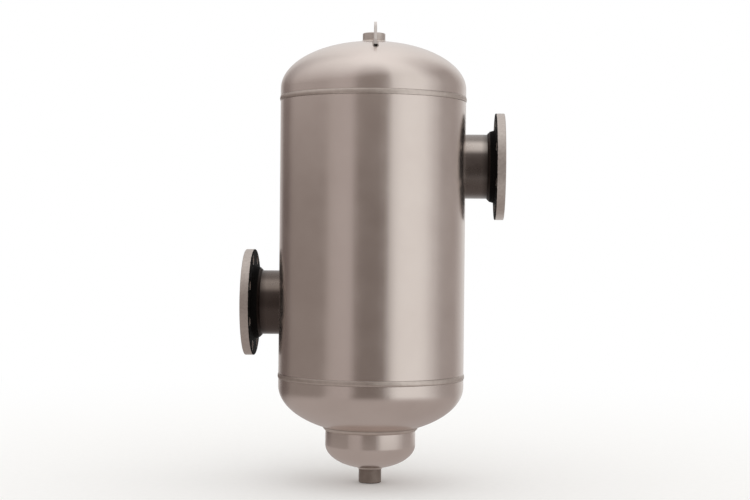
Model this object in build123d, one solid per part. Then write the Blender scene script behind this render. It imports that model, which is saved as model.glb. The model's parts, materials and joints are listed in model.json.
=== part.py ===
from build123d import *
import math
import os

# A vertical stainless sediment separator: a rolled shell between two dished heads, two flanged
# nozzles set off the axis so that the water spins, and a bowl below that catches what it throws out.
# Millimetres. +Z is up, +X runs from the axis to the outlet side, -Y is the front, and the origin is
# the centre of the drain coupling's mouth, the lowest point.

# Vessel plate work
shell_bore = 457.2
plate = 6.35
seam_to_seam = 700.0
head_skirt = 25.4
head_ratio = 2.0

# Sediment bowl under the bottom head
bowl_od = 228.6
bowl_skirt = 43.5
bowl_throat = 203.2

# Nozzles: 6 in pipe in slip-on flanges
pipe_od = 168.28
pipe_wall = 7.11
face_to_face = 679.5
inlet_above_seam = 177.4
outlet_below_seam = 160.5

# Slip-on flange, class 150
flange_od = 279.4
flange_thickness = 25.4
raised_face_od = 215.9
raised_face_height = 1.6
flange_hub_length = 14.3
flange_hub_base = 192.0
flange_hub_tip = 184.0
flange_hub_fillet = 4.0
flange_edge = 1.2
slip_on_clearance = 1.2
pipe_setback = 9.5
bolt_circle = 241.3
bolt_count = 8
bolt_hole = 22.2

# Threaded couplings, 1 1/4 in
coupling_od = 57.15
coupling_bore = 38.5
coupling_edge = 1.6
coupling_fit = 0.8
drain_standout = 36.0
drain_length = 44.45
vent_standout = 22.0
vent_length = 33.3

# Lifting lugs on the top head
lug_plate = 6.35
lug_width = 56.0
lug_radius = 122.0
lug_side = 6.0
lug_round = 20.0
lug_eye_height = 32.0
lug_eye = 22.0
lug_turn = 4.0

# Groove welds: the plate edges are bevelled, and the bead fills the groove
bevel_angle = 37.5
root_face = 1.6
root_gap = 2.4
crown_lap = 2.0
crown_height = 1.8
root_lap = 1.4
root_height = 0.8

# Fillet welds, by the length of their legs. Fullness is how far out of the corner the middle of a
# flange weld's face lies, as a share of its legs: 0.5 would be flat.
bead_fullness = 0.56
saddle_points = 36
saddle_leg = 5.0
bowl_leg = 7.0
coupling_leg = 6.0
hub_leg = 7.0
bore_leg = 6.0
lug_leg = 5.0

# Stilling cone over the bowl, on three legs
cone_od = 330.0
cone_rise = 40.0
cone_plate = 4.8
cone_rim_above_seam = 12.0
leg_bar = 12.7
leg_inset = 35.0
leg_count = 3
leg_turn = 90.0

# Worked out from the sizes above
bore_r = shell_bore / 2
shell_r = bore_r + plate
dome_in = bore_r / head_ratio
dome_out = dome_in + plate
bowl_r = bowl_od / 2
bowl_bore_r = bowl_r - plate
bowl_dome_in = bowl_bore_r / head_ratio
bowl_dome_out = bowl_dome_in + plate
pipe_r = pipe_od / 2
pipe_bore_r = pipe_r - pipe_wall
coupling_r = coupling_od / 2
leg_from_axis = cone_od / 2 - leg_inset


def ellipse_height(radius, half_width, rise):
    """Height of a dome's surface above its widest line, at a radius from its axis."""
    return rise * math.sqrt(1 - (radius / half_width) ** 2)


def ellipse_normal(radius, half_width, rise):
    """Outward normal of a dome's surface, in the radius and height plane."""
    height = ellipse_height(radius, half_width, rise)
    return Vector(radius / half_width**2, 0, height / rise**2).normalized()


# Heights, stacked up from the drain's mouth
bowl_dome_z = drain_standout + bowl_dome_out
bowl_rim_z = bowl_dome_z + bowl_skirt
bottom_dome_z = bowl_rim_z + ellipse_height(bowl_r, shell_r, dome_out)
bottom_seam_z = bottom_dome_z + head_skirt
top_seam_z = bottom_seam_z + seam_to_seam
top_dome_z = top_seam_z + head_skirt
crown_z = top_dome_z + dome_out
inlet_z = bottom_seam_z + inlet_above_seam
outlet_z = top_seam_z - outlet_below_seam
cone_rim_z = bottom_seam_z + cone_rim_above_seam

# The nozzles run past the axis: the outside of each pipe lines up with the shell's bore
nozzle_y = bore_r - pipe_r

# Half widths of a groove weld at the plate's outside, over its crown and over its root
groove_half = root_gap / 2 + (plate - root_face) * math.tan(math.radians(bevel_angle))
crown_half = groove_half + crown_lap
root_half = root_gap / 2 + root_lap


def turned(*edges):
    """Solid of revolution about Z, from edges drawn in the radius and height plane."""
    return revolve(Plane.XZ * make_face(Curve() + list(edges)), Axis.Z)


def cylinder(radius, low, high):
    """Upright cylinder on the Z axis between two heights."""
    return Pos(0, 0, low) * Cylinder(radius, high - low, align=(Align.CENTER, Align.CENTER, Align.MIN))


def solid_dome(half_width, rise):
    """Filled half ellipsoid that stands on the XY plane."""
    return turned(
        Line((0, 0), (half_width, 0)),
        EllipticalCenterArc((0, 0), half_width, rise, arc_size=90),
        Line((0, rise), (0, 0)),
    )


def vessel_envelope():
    """The shell and both heads as one filled solid, outside surface."""
    barrel = cylinder(shell_r, bottom_dome_z, top_dome_z)
    dome = solid_dome(shell_r, dome_out)
    return barrel + Pos(0, 0, top_dome_z) * dome + Pos(0, 0, bottom_dome_z) * Rot(180, 0, 0) * dome


def bowl_envelope():
    """The sediment bowl as one filled solid, outside surface, up into the bottom head."""
    wall = cylinder(bowl_r, bowl_dome_z, bottom_dome_z)
    return wall + Pos(0, 0, bowl_dome_z) * Rot(180, 0, 0) * solid_dome(bowl_r, bowl_dome_out)


def dished_head():
    """Head with its dome upwards and its widest line at z = 0; the rim is bevelled for the weld."""
    rim = -head_skirt + root_gap / 2
    bevel_top = -head_skirt + groove_half
    return turned(
        EllipticalCenterArc((0, 0), bore_r, dome_in, arc_size=90),
        Line((0, dome_in), (0, dome_out)),
        EllipticalCenterArc((0, 0), shell_r, dome_out, arc_size=90),
        Polyline((shell_r, 0), (shell_r, bevel_top), (bore_r + root_face, rim), (bore_r, rim), (bore_r, 0)),
    )


def top_head():
    """Top head with its hole for the vent coupling."""
    hole = cylinder(coupling_r + coupling_fit, 0, dome_out + plate)
    return Pos(0, 0, top_dome_z) * (dished_head() - hole)


def bottom_head():
    """Bottom head, open in the middle to the sediment bowl."""
    throat = cylinder(bowl_throat / 2, 0, dome_out + plate)
    return Pos(0, 0, bottom_dome_z) * Rot(180, 0, 0) * (dished_head() - throat)


def back_groove():
    """Outline of the V groove that the shell's own seam is welded in, across the wall at +Y."""
    spread = math.tan(math.radians(bevel_angle))
    over = plate - root_face + crown_height
    half = root_gap / 2
    return make_face(
        Polyline(
            (-half, bore_r - plate),
            (half, bore_r - plate),
            (half, bore_r + root_face),
            (half + over * spread, bore_r + root_face + over),
            (-half - over * spread, bore_r + root_face + over),
            (-half, bore_r + root_face),
            close=True,
        )
    )


def seam_height(section, low, high):
    """Extrude a section of the shell's seam between two heights."""
    return extrude(Pos(0, 0, low) * section, high - low)


def nozzle_height(side):
    """Height of a nozzle's axis: the inlet is on the -X side and the outlet on the +X side."""
    return inlet_z if side < 0 else outlet_z


def nozzle_cylinder(side, radius, end):
    """Cylinder about a nozzle's axis, from beside the vessel's axis to a distance out."""
    return Pos(side * end / 2, nozzle_y, nozzle_height(side)) * Rot(0, 90, 0) * Cylinder(radius, end)


def shell():
    """Rolled shell: bevelled at both ends and along its seam, with a hole for each nozzle."""
    low = bottom_seam_z + root_gap / 2
    high = top_seam_z - root_gap / 2
    low_bevel = bottom_seam_z + groove_half
    high_bevel = top_seam_z - groove_half
    wall = turned(
        Polyline(
            (bore_r, low),
            (bore_r + root_face, low),
            (shell_r, low_bevel),
            (shell_r, high_bevel),
            (bore_r + root_face, high),
            (bore_r, high),
            close=True,
        )
    )
    wall -= seam_height(back_groove(), bottom_seam_z, top_seam_z)
    for side in (-1, 1):
        wall -= nozzle_cylinder(side, pipe_bore_r, face_to_face / 2)
    return wall


def girth_weld(height):
    """Butt weld between the shell and a head: fills the groove, with a crown and a root bead."""
    section = turned(
        ThreePointArc((shell_r, -crown_half), (shell_r + crown_height, 0), (shell_r, crown_half)),
        Polyline(
            (shell_r, crown_half),
            (shell_r, groove_half),
            (bore_r + root_face, root_gap / 2),
            (bore_r, root_gap / 2),
            (bore_r, root_half),
        ),
        ThreePointArc((bore_r, root_half), (bore_r - root_height, 0), (bore_r, -root_half)),
        Polyline(
            (bore_r, -root_half),
            (bore_r, -root_gap / 2),
            (bore_r + root_face, -root_gap / 2),
            (shell_r, -groove_half),
            (shell_r, -crown_half),
        ),
    )
    return Pos(0, 0, height) * section


def bead_lens(half, edge_radius, peak_radius):
    """Section of a raised bead at +Y, from its toes on a circle to its peak, closed inside the wall."""
    toe = math.sqrt(edge_radius**2 - half**2)
    into_wall = edge_radius + math.copysign(root_face, edge_radius - peak_radius)
    return make_face(
        Curve()
        + [
            ThreePointArc((-half, toe), (0, peak_radius), (half, toe)),
            Polyline((half, toe), (half, into_wall), (-half, into_wall), (-half, toe)),
        ]
    )


def shell_seam_weld():
    """The rolled shell's own seam, straight up the back."""
    ring = Circle(shell_r) - Circle(bore_r)
    groove = back_groove()
    filling = groove & ring
    crown = bead_lens(crown_half, shell_r, shell_r + crown_height)
    root = bead_lens(root_half, bore_r, bore_r - root_height)
    beads = (crown + root) - ring
    seam = seam_height(filling, bottom_seam_z, top_seam_z)
    seam += seam_height(beads, bottom_seam_z + crown_half, top_seam_z - crown_half)
    return seam - girth_weld(bottom_seam_z) - girth_weld(top_seam_z)


def sediment_bowl():
    """Pressed bowl, its rim coped to the outside of the bottom head."""
    hollow = cylinder(bowl_bore_r, bowl_dome_z, bottom_dome_z)
    hollow += Pos(0, 0, bowl_dome_z) * Rot(180, 0, 0) * solid_dome(bowl_bore_r, bowl_dome_in)
    bowl = bowl_envelope() - hollow - vessel_envelope()
    return bowl - cylinder(coupling_r + coupling_fit, 0, bowl_dome_z)


def nozzle(side):
    """Pipe of one nozzle, coped to the outside of the shell and set back in its flange."""
    end = face_to_face / 2 - pipe_setback
    pipe = nozzle_cylinder(side, pipe_r, end) - nozzle_cylinder(side, pipe_bore_r, end)
    return pipe - cylinder(shell_r, bottom_seam_z, top_seam_z)


def flange_place(side):
    """Frame of one flange: origin on the raised face, its Z pointing out of the nozzle."""
    centre = (side * face_to_face / 2, nozzle_y, nozzle_height(side))
    return Plane(origin=centre, x_dir=(0, side, 0), z_dir=(side, 0, 0))


def flange(side):
    """Slip-on flange with a raised face and a tapered hub; its bolt holes straddle the upright line."""
    rim = flange_od / 2
    bore = pipe_r + slip_on_clearance
    back = -flange_thickness
    tip = back - flange_hub_length
    body = turned(
        Polyline(
            (bore, 0),
            (raised_face_od / 2, 0),
            (raised_face_od / 2, -raised_face_height),
            (rim - flange_edge, -raised_face_height),
            (rim, -raised_face_height - flange_edge),
            (rim, back + flange_edge),
            (rim - flange_edge, back),
            (flange_hub_base / 2, back),
            (flange_hub_tip / 2, tip),
            (bore, tip),
            close=True,
        )
    )
    hub_root = body.edges().filter_by(GeomType.CIRCLE).sort_by(
        lambda edge: abs(edge.radius - flange_hub_base / 2) + abs(edge.center().Z - back)
    )[0]
    body = fillet(hub_root, flange_hub_fillet)
    bolt_places = PolarLocations(bolt_circle / 2, bolt_count, start_angle=180 / bolt_count)
    body -= bolt_places * Cylinder(bolt_hole / 2, 3 * flange_thickness)
    return flange_place(side) * body


def corner_bead_ring(side, radius, height, leg_out, leg_up):
    """Ring of fillet weld in a flange's square corner, with a slightly full face."""
    middle = (radius + bead_fullness * leg_out, height + bead_fullness * leg_up)
    ring = turned(
        Polyline((radius, height + leg_up), (radius, height), (radius + leg_out, height)),
        ThreePointArc((radius + leg_out, height), middle, (radius, height + leg_up)),
    )
    return flange_place(side) * ring


def hub_weld(side):
    """Fillet weld round the pipe, on the end of the flange's hub."""
    end = -flange_thickness - flange_hub_length
    return corner_bead_ring(side, pipe_r, end, hub_leg, -hub_leg)


def bore_weld(side):
    """Fillet weld inside the flange, on the pipe's end."""
    return corner_bead_ring(side, pipe_r + slip_on_clearance, -pipe_setback, -bore_leg, bore_leg)


def sunk_bead(leg):
    """Radius of a fillet bead's round section, and how deep its centre lies below the corner."""
    return leg * math.sqrt(2 + math.sqrt(2)), leg


def bead_point(corner, normal_a, normal_b, leg):
    """Centre of a bead's section, behind the corner that two surfaces make."""
    return corner - (normal_a + normal_b).normalized() * sunk_bead(leg)[1]


def ring_bead(corner, normal_a, normal_b, leg):
    """Torus whose outside forms a ring of fillet weld along a corner about the Z axis."""
    centre = bead_point(corner, normal_a, normal_b, leg)
    return Pos(0, 0, centre.Z) * Torus(centre.X, sunk_bead(leg)[0])


def saddle_point(side, angle):
    """Point where the pipe's outside meets the shell's outside, with both outward normals."""
    y = nozzle_y + pipe_r * math.cos(angle)
    z = nozzle_height(side) + pipe_r * math.sin(angle)
    corner = Vector(side * math.sqrt(shell_r**2 - y**2), y, z)
    return corner, Vector(0, math.cos(angle), math.sin(angle)), Vector(corner.X, corner.Y, 0).normalized()


def nozzle_weld(side):
    """Fillet weld along the saddle line between a nozzle and the shell, in an upper and a lower run."""
    angles = [2 * math.pi * i / saddle_points for i in range(saddle_points)]
    line = [bead_point(*saddle_point(side, angle), saddle_leg) for angle in angles]
    path = Spline(*line, periodic=True)
    weld = Part()
    for run in (path.trim(0, 0.5), path.trim(0.5, 1)):
        section = Plane(origin=run @ 0, z_dir=run % 0) * Circle(sunk_bead(saddle_leg)[0])
        bead = sweep(section, path=run) - nozzle_cylinder(side, pipe_r, face_to_face / 2)
        weld += bead - cylinder(shell_r, bottom_seam_z, top_seam_z)
    return weld


def bowl_weld():
    """Fillet weld between the bowl's rim and the bottom head."""
    head_normal = ellipse_normal(bowl_r, shell_r, dome_out)
    down = Vector(head_normal.X, 0, -head_normal.Z)
    bead = ring_bead(Vector(bowl_r, 0, bowl_rim_z), Vector(1, 0, 0), down, bowl_leg)
    return bead - vessel_envelope() - bowl_envelope()


def coupling(length):
    """Threaded coupling as a plain bored sleeve, mouth at z = 0 and bevelled there, body above."""
    return turned(
        Polyline(
            (coupling_bore / 2, 0),
            (coupling_r - coupling_edge, 0),
            (coupling_r, coupling_edge),
            (coupling_r, length),
            (coupling_bore / 2, length),
            close=True,
        )
    )


def drain_coupling():
    """Drain at the bottom of the bowl."""
    return coupling(drain_length)


def vent_coupling():
    """Air vent in the crown of the top head."""
    return Pos(0, 0, crown_z + vent_standout) * Rot(180, 0, 0) * coupling(vent_length)


def drain_weld():
    """Fillet weld round the drain coupling, on the outside of the bowl."""
    height = bowl_dome_z - ellipse_height(coupling_r, bowl_r, bowl_dome_out)
    bowl_normal = ellipse_normal(coupling_r, bowl_r, bowl_dome_out)
    down = Vector(bowl_normal.X, 0, -bowl_normal.Z)
    bead = ring_bead(Vector(coupling_r, 0, height), Vector(1, 0, 0), down, coupling_leg)
    return bead - bowl_envelope() - cylinder(coupling_r, 0, bowl_dome_z)


def vent_weld():
    """Fillet weld round the vent coupling, on the outside of the top head."""
    height = top_dome_z + ellipse_height(coupling_r, shell_r, dome_out)
    up = ellipse_normal(coupling_r, shell_r, dome_out)
    bead = ring_bead(Vector(coupling_r, 0, height), Vector(1, 0, 0), up, coupling_leg)
    return bead - vessel_envelope() - cylinder(coupling_r, top_dome_z, crown_z + vent_standout)


def lug_place(end):
    """Turn of a lug about the vessel's axis: the front one for end = -1, the rear one for end = 1."""
    return Rot(0, 0, 90 * end + lug_turn)


def lug_seat_z():
    """Height of the top head's outside under the middle of a lug."""
    return top_dome_z + ellipse_height(lug_radius, shell_r, dome_out)


def lug_blank():
    """Lug as cut from plate, standing across the XZ plane, before its foot is coped to the head."""
    seat = lug_seat_z()
    foot = Pos(lug_radius, seat + lug_side - lug_width / 2) * Rectangle(lug_width, lug_width)
    top = Pos(lug_radius, seat + lug_eye_height) * Circle(lug_round)
    outline = make_hull(foot.edges() + top.edges())
    eye = Pos(lug_radius, seat + lug_eye_height) * Circle(lug_eye / 2)
    return extrude(Plane.XZ * (outline - eye), lug_plate / 2, both=True)


def lifting_lug(end):
    """Lifting lug, its foot coped to the outside of the top head."""
    return lug_place(end) * (lug_blank() - vessel_envelope())


def lug_weld(end):
    """Fillet weld all round a lug's foot."""
    out = ellipse_normal(lug_radius, shell_r, dome_out)
    foot_length = lug_width / out.Z
    sink = lug_leg
    seat = Plane(origin=(lug_radius, 0, lug_seat_z()), x_dir=(out.Z, 0, -out.X), z_dir=out)
    wide = 2 * (lug_leg + sink)
    low = seat.offset(-sink) * RectangleRounded(foot_length + wide, lug_plate + wide, lug_leg + sink)
    high = seat.offset(lug_leg) * RectangleRounded(foot_length, lug_plate, lug_plate / 4)
    bead = loft([low.face(), high.face()])
    return lug_place(end) * (bead - vessel_envelope() - lug_blank())


def cone_above(height):
    """Filled cone whose surface lies at a height over the stilling cone's underside."""
    return turned(
        Polyline(
            (0, cone_rim_z + cone_rise + height),
            (cone_od / 2, cone_rim_z + height),
            (cone_od / 2, cone_rim_z + 2 * cone_rise),
            (0, cone_rim_z + 2 * cone_rise),
            close=True,
        )
    )


def stilling_cone():
    """Shallow plate cone over the bowl, which keeps the settled dirt out of the spinning water."""
    return cone_above(0) - cone_above(cone_plate)


def cone_leg(index):
    """Round bar between the bottom head and the stilling cone, coped to both."""
    inside = Pos(0, 0, bottom_dome_z) * Rot(180, 0, 0) * solid_dome(bore_r, dome_in)
    inside += cylinder(bore_r, bottom_dome_z, top_seam_z)
    bar = Pos(leg_from_axis, 0) * cylinder(leg_bar / 2, bowl_dome_z, cone_rim_z + cone_rise)
    bar = Rot(0, 0, leg_turn + 360 * index / leg_count) * bar
    return (bar & inside) - cone_above(0)


def build():
    """All the pieces, by node name."""
    parts = {
        "shell": shell(),
        "top_head": top_head(),
        "bottom_head": bottom_head(),
        "sediment_bowl": sediment_bowl(),
        "top_girth_weld": girth_weld(top_seam_z),
        "bottom_girth_weld": girth_weld(bottom_seam_z),
        "shell_seam_weld": shell_seam_weld(),
        "bowl_weld": bowl_weld(),
        "vent_coupling": vent_coupling(),
        "vent_weld": vent_weld(),
        "drain_coupling": drain_coupling(),
        "drain_weld": drain_weld(),
        "stilling_cone": stilling_cone(),
    }
    for name, side in (("inlet", -1), ("outlet", 1)):
        parts[name + "_nozzle"] = nozzle(side)
        parts[name + "_nozzle_weld"] = nozzle_weld(side)
        parts[name + "_flange"] = flange(side)
        parts[name + "_hub_weld"] = hub_weld(side)
        parts[name + "_bore_weld"] = bore_weld(side)
    for name, end in (("front", -1), ("rear", 1)):
        parts[name + "_lifting_lug"] = lifting_lug(end)
        parts[name + "_lug_weld"] = lug_weld(end)
    for index in range(leg_count):
        parts["cone_leg_" + str(index + 1)] = cone_leg(index)
    return parts


if __name__ == "__main__":
    os.makedirs("parts", exist_ok=True)
    for node, solid in build().items():
        export_step(solid, os.path.join("parts", node + ".step"))
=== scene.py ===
# %% [markdown]
# # A stainless sediment separator
#
# This vessel stands in a heating or cooling circuit. Water comes in through the low flange, spins, drops
# its dirt into the bowl below and leaves through the high flange. Plates, pipes, flanges and lugs come
# from the CAD model and stay as they are. This lesson gives them their metals, lays weld beads with real
# ripples along every joint, cuts threads in the couplings, and sets the result in a light tent before a camera.

# %% Load the CAD frame
import json
import math

import bmesh
import bpy
from mathutils import Matrix, Quaternion, Vector


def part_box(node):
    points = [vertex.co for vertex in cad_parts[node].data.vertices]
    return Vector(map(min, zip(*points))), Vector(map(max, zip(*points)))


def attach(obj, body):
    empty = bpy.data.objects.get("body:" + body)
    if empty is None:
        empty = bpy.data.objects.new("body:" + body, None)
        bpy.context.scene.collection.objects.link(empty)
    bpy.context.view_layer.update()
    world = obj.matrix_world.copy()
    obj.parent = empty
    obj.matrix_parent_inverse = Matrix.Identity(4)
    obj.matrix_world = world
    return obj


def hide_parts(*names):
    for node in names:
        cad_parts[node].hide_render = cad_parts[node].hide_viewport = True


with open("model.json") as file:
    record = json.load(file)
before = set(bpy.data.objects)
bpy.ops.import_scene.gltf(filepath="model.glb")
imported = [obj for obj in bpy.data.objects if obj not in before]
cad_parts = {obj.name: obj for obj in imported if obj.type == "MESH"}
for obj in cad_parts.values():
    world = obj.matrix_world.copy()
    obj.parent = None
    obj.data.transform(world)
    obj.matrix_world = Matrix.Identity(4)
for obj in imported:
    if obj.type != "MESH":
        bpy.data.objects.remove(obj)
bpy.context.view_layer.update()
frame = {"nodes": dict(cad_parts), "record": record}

nodes = frame["nodes"]

# %% [markdown]
# The CAD source works in millimetres and Blender in metres. The places that the looks need are read off
# the CAD nodes' own corners, so that they follow the frame if it changes.

# %% Sizes read from the frame
MM = 0.001
SHELL_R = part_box("top_head")[1].x
PLATE = 6.35 * MM
HEAD_SKIRT = 25.4 * MM
TOP_SEAM = sum(corner.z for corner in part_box("top_girth_weld")) / 2
BOTTOM_SEAM = sum(corner.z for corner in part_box("bottom_girth_weld")) / 2
TOP_DOME_Z = TOP_SEAM + HEAD_SKIRT
DOME_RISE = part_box("top_head")[1].z - TOP_DOME_Z
PIPE_R = 168.28 * MM / 2
SIDES = {"inlet": -1, "outlet": 1}
NOZZLE_Z = {name: sum(corner.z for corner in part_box(name + "_flange")) / 2 for name in SIDES}
NOZZLE_Y = sum(corner.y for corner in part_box("inlet_flange")) / 2
FACE_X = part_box("outlet_flange")[1].x
print("seams at", round(BOTTOM_SEAM, 4), round(TOP_SEAM, 4), "nozzles at", NOZZLE_Z, "y", round(NOZZLE_Y, 4))


# %% [markdown]
# Two helpers serve the whole script. Colours are written as the sRGB hex values that a paint chart or a
# photo editor shows, and Blender's shaders want linear light, so one function turns them. The other adds
# a node to any tree with its settings, values and links.

# %% Helpers
def colour(hex_value):
    """Linear RGBA from an sRGB hex value."""
    parts = [int(hex_value[i:i + 2], 16) / 255 for i in (1, 3, 5)]
    return (*[c / 12.92 if c <= 0.04045 else ((c + 0.055) / 1.055) ** 2.4 for c in parts], 1.0)


def add(tree, kind, inputs=None, **settings):
    """Add a node. Inputs are values or other nodes' outputs, by socket name or number."""
    made = tree.nodes.new(kind)
    for name, value in settings.items():
        setattr(made, name, value)
    for key, value in (inputs or {}).items():
        if isinstance(value, bpy.types.NodeSocket):
            tree.links.new(value, made.inputs[key])
        else:
            made.inputs[key].default_value = value
    return made


# %% [markdown]
# The camera stands where the photographer's did: about 3.8 m away, at half the vessel's height, almost
# square to the two nozzles, with a lens of about 71 mm. The picture hangs half a degree off plumb.

# %% Camera
CAMERA_TURN = math.radians(2.4)
CAMERA_REACH = 3.774
towards = Vector((-math.sin(CAMERA_TURN), math.cos(CAMERA_TURN), 0))
right = Vector((math.cos(CAMERA_TURN), math.sin(CAMERA_TURN), 0))
camera_place = -towards * CAMERA_REACH + Vector((0, 0, 0.6149))
aim = right * 0.0075 + Vector((0, 0, 0.5895))
camera_data = bpy.data.cameras.new("camera")
camera_data.sensor_width = 36
camera_data.lens = 71.3
camera = bpy.data.objects.new("camera", camera_data)
camera.location = camera_place
camera.rotation_mode = "QUATERNION"
lean = Quaternion((0, 0, 1), math.radians(0.55))
camera.rotation_quaternion = (aim - camera_place).to_track_quat("-Z", "Y") @ lean
bpy.context.scene.collection.objects.link(camera)
bpy.context.scene.camera = camera
print("camera at", [round(v, 3) for v in camera_place], "lens", camera_data.lens)

# %% [markdown]
# A ground steel vessel is a picture of the room around it, so photographers put it in a light tent: cloth
# panels and cards all round, white overhead. Each panel shows on the shell as one upright band. The tent
# is one sheet of revolution that only reflections see, and its colour is read off a list of bearings from
# the camera's side, positive to the right. Upwards the panels fade into the white roof, which hangs lower on
# the left, and on the floor they fade into a grey patch under the vessel, which is the vessel's painted shadow.

# %% Light tent
TENT_R = 2.3
PANELS = [(-180, "#E8E7E6"), (-166, "#E2E0DF"), (-152, "#C9C5C3"), (-140, "#6C625F"), (-122, "#6C625F"),
          (-112, "#908884"), (-57, "#8E8682"), (-50, "#B1AAA7"), (-24, "#BAB3B1"), (-17, "#7E7672"),
          (15, "#7E7672"), (24, "#E6E6E5"), (34, "#EEEEED"), (60, "#EEEEED"), (74, "#D3D1D0"), (90, "#AAA5A3"),
          (118, "#A69F9C"), (130, "#C0BCBA"), (150, "#E6E5E4"), (180, "#E8E7E6")]
LIGHTER_ABOVE = {"#6C625F": "#857B78", "#908884": "#AAA29F", "#8E8682": "#A9A19E", "#7E7672": "#908884"}
HIGH_PANELS = [(start, LIGHTER_ABOVE.get(tone, tone)) for start, tone in PANELS]


def studio_piece(name, rows, columns, material):
    """Sheet of revolution about Z through rows of radius and height. Only reflections see it."""
    verts = [(r * math.sin(math.tau * k / columns), -r * math.cos(math.tau * k / columns), z)
             for r, z in rows for k in range(columns)]
    faces = [(i * columns + k, i * columns + (k + 1) % columns,
              (i + 1) * columns + (k + 1) % columns, (i + 1) * columns + k)
             for i in range(len(rows) - 1) for k in range(columns)]
    mesh = bpy.data.meshes.new(name)
    mesh.from_pydata(verts, [], faces)
    mesh.materials.append(material)
    sheet = bpy.data.objects.new(name, mesh)
    bpy.context.scene.collection.objects.link(sheet)
    sheet.visible_camera = sheet.visible_diffuse = sheet.visible_shadow = False
    return sheet


def tent_cloth():
    material = bpy.data.materials.new("glowing_tent_cloth")
    material.use_nodes = True
    tree = material.node_tree
    tree.nodes.clear()
    parts = add(tree, "ShaderNodeSeparateXYZ", {0: add(tree, "ShaderNodeTexCoord").outputs["Object"]})
    front = add(tree, "ShaderNodeMath", {0: parts.outputs["Y"], 1: -1.0}, operation="MULTIPLY")
    bearing = add(tree, "ShaderNodeMath", {0: parts.outputs["X"], 1: front.outputs[0]}, operation="ARCTAN2")
    share = add(tree, "ShaderNodeMapRange", {"Value": bearing.outputs[0], "From Min": CAMERA_TURN - math.pi,
                                             "From Max": CAMERA_TURN + math.pi})
    bands = []
    for listed in (PANELS, HIGH_PANELS):
        ramp = add(tree, "ShaderNodeValToRGB", {"Fac": share.outputs[0]})
        stops = ramp.color_ramp.elements
        while len(stops) < len(listed):
            stops.new(1.0)
        for stop, (start, tone) in zip(stops, listed):
            stop.position = (start + 180) / 360
            stop.color = colour(tone)
        bands.append(ramp.outputs["Color"])
    lift = add(tree, "ShaderNodeMapRange", {"Value": parts.outputs["Z"], "From Min": 0.78, "From Max": 1.25})
    panels = add(tree, "ShaderNodeMix", {0: lift.outputs[0], 6: bands[0], 7: bands[1]}, data_type="RGBA")
    flat = add(tree, "ShaderNodeCombineXYZ", {"X": parts.outputs["X"], "Y": parts.outputs["Y"]})
    reach = add(tree, "ShaderNodeVectorMath", {0: flat.outputs[0]}, operation="LENGTH").outputs["Value"]
    eaves = add(tree, "ShaderNodeMath", {0: parts.outputs["X"], 1: 0.35, 2: 0.8}, operation="MULTIPLY_ADD")
    above = add(tree, "ShaderNodeMath", {0: parts.outputs["Z"], 1: eaves.outputs[0]}, operation="SUBTRACT")
    rise = add(tree, "ShaderNodeMath", {0: above.outputs[0], 1: reach}, operation="ARCTAN2")
    roof = add(tree, "ShaderNodeMapRange", {"Value": rise.outputs[0], "From Min": math.radians(25),
                                            "From Max": math.radians(80)})
    upper = add(tree, "ShaderNodeMix", {0: roof.outputs[0], 6: panels.outputs[2], 7: colour("#FFFFFF")},
                data_type="RGBA")
    # Painted shadow: the tent's floor glows grey under the vessel, where its shadow would fall.
    near = add(tree, "ShaderNodeMapRange", {"Value": reach, "From Min": 1.05, "From Max": 0.45},
               interpolation_type="SMOOTHSTEP")
    low = add(tree, "ShaderNodeMath", {0: parts.outputs["Z"], 1: 0.01}, operation="LESS_THAN")
    under = add(tree, "ShaderNodeMath", {0: near.outputs[0], 1: low.outputs[0]}, operation="MULTIPLY")
    cloth = add(tree, "ShaderNodeMix", {0: under.outputs[0], 6: upper.outputs[2], 7: colour("#B1AAA7")},
                data_type="RGBA")
    glow = add(tree, "ShaderNodeEmission", {"Color": cloth.outputs[2], "Strength": 1.0})
    add(tree, "ShaderNodeOutputMaterial", {"Surface": glow.outputs[0]})
    return material


TENT_ROWS = [(0.01, 0.002), (TENT_R, 0.002), (TENT_R, 1.6)]
TENT_ROWS += [(TENT_R * math.cos(math.radians(t)) + 0.001, 1.6 + TENT_R * math.sin(math.radians(t)))
              for t in range(10, 91, 10)]
studio_piece("light_tent", TENT_ROWS, 64, tent_cloth())
print("tent panels:", len(PANELS), "radius", TENT_R)

# %% [markdown]
# To the camera the vessel hangs over a plain pale floor that runs up into white, so the floor is matt
# paper near the vessel, where it holds the shadow, and glows white farther off. The world is a plain white
# light from all round.

# %% Pale floor and world
size = 30.0
floor_mesh = bpy.data.meshes.new("pale_floor")
floor_mesh.from_pydata([(-size, -size, -MM), (size, -size, -MM), (size, size, -MM), (-size, size, -MM)],
                       [], [(0, 1, 2, 3)])
floor = bpy.data.objects.new("pale_floor", floor_mesh)
bpy.context.scene.collection.objects.link(floor)
paper = bpy.data.materials.new("matt_white_paper")
paper.use_nodes = True
tree = paper.node_tree
tree.nodes.clear()
place = add(tree, "ShaderNodeTexCoord")
distance = add(tree, "ShaderNodeVectorMath", {0: place.outputs["Object"]}, operation="LENGTH")
far = add(tree, "ShaderNodeMapRange", {"Value": distance.outputs["Value"], "From Min": 0.6, "From Max": 3.0},
          interpolation_type="SMOOTHSTEP")
grain = add(tree, "ShaderNodeTexNoise", {"Vector": place.outputs["Object"], "Scale": 60.0, "Detail": 4.0})
tint = add(tree, "ShaderNodeMix", {0: grain.outputs["Fac"], 6: colour("#FAF9F7"), 7: colour("#FFFEFC")},
           data_type="RGBA")
matt = add(tree, "ShaderNodeBsdfDiffuse", {"Color": tint.outputs[2]})
bright = add(tree, "ShaderNodeEmission", {"Color": (1, 1, 1, 1), "Strength": 1.0})
sweep = add(tree, "ShaderNodeMixShader", {0: far.outputs[0], 1: matt.outputs[0], 2: bright.outputs[0]})
add(tree, "ShaderNodeOutputMaterial", {"Surface": sweep.outputs[0]})
floor_mesh.materials.append(paper)

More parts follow.
